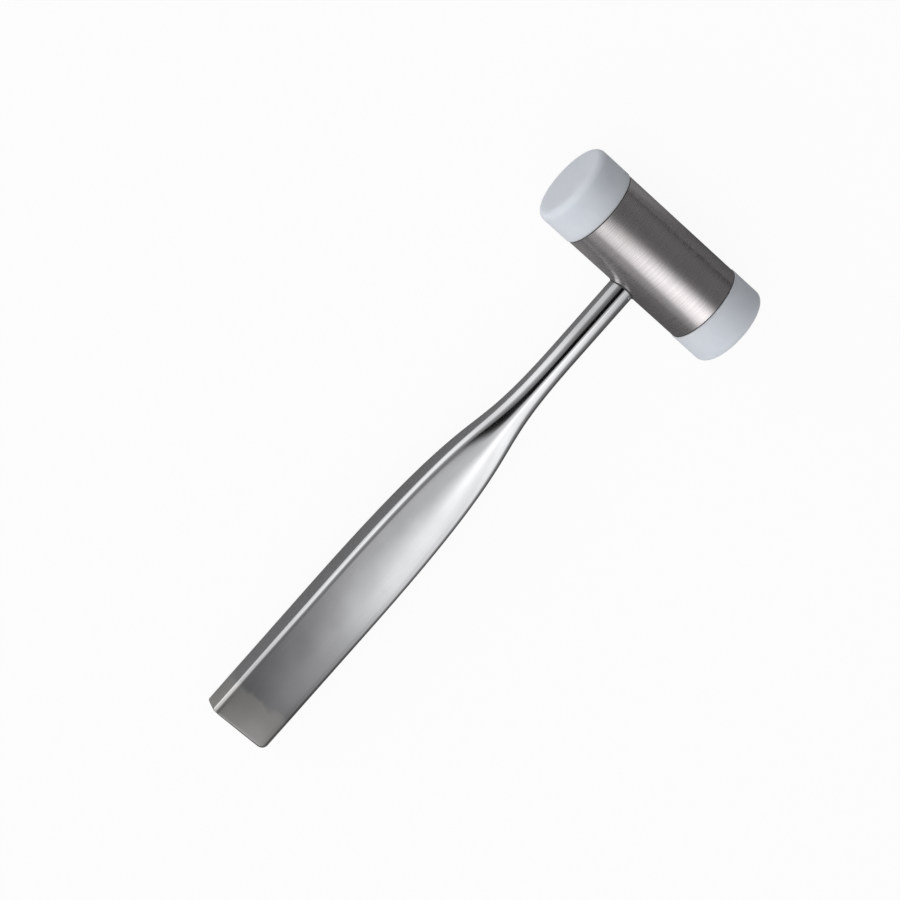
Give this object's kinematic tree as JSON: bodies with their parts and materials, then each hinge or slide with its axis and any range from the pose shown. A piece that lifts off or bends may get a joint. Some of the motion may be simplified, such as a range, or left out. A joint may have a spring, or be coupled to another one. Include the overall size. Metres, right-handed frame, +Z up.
{
  "type": "surgical mallet",
  "caption": "Surgical mallet with a turned steel head, screwed-in white nylon caps and a hollow flat-grip steel handle.",
  "frame": {"origin": "on the table, below the middle of the mallet as it lies on its side", "axes": "+X from the butt towards the head, +Y along the head's axis to the front cap, +Z up off the table"},
  "size_m": [0.24, 0.0826, 0.032],
  "materials": {
    "barrel_steel": "satin",
    "handle_steel": "polished",
    "cap_nylon": "satin"
  },
  "bodies": {
    "mallet": {"head_barrel": "barrel_steel", "handle_shell": "handle_steel", "handle_tang": "barrel_steel", "butt_piece": "handle_steel"},
    "front_cap": {"front_cap": "cap_nylon"},
    "rear_cap": {"rear_cap": "cap_nylon"}
  },
  "joints": [
    {"name": "front_cap_unscrew", "type": "slide", "parent": "mallet", "child": "front_cap", "axis": [0, 1, 0], "range_m": [0, 0.016]},
    {"name": "rear_cap_unscrew", "type": "slide", "parent": "mallet", "child": "rear_cap", "axis": [0, -1, 0], "range_m": [0, 0.016]}
  ]
}
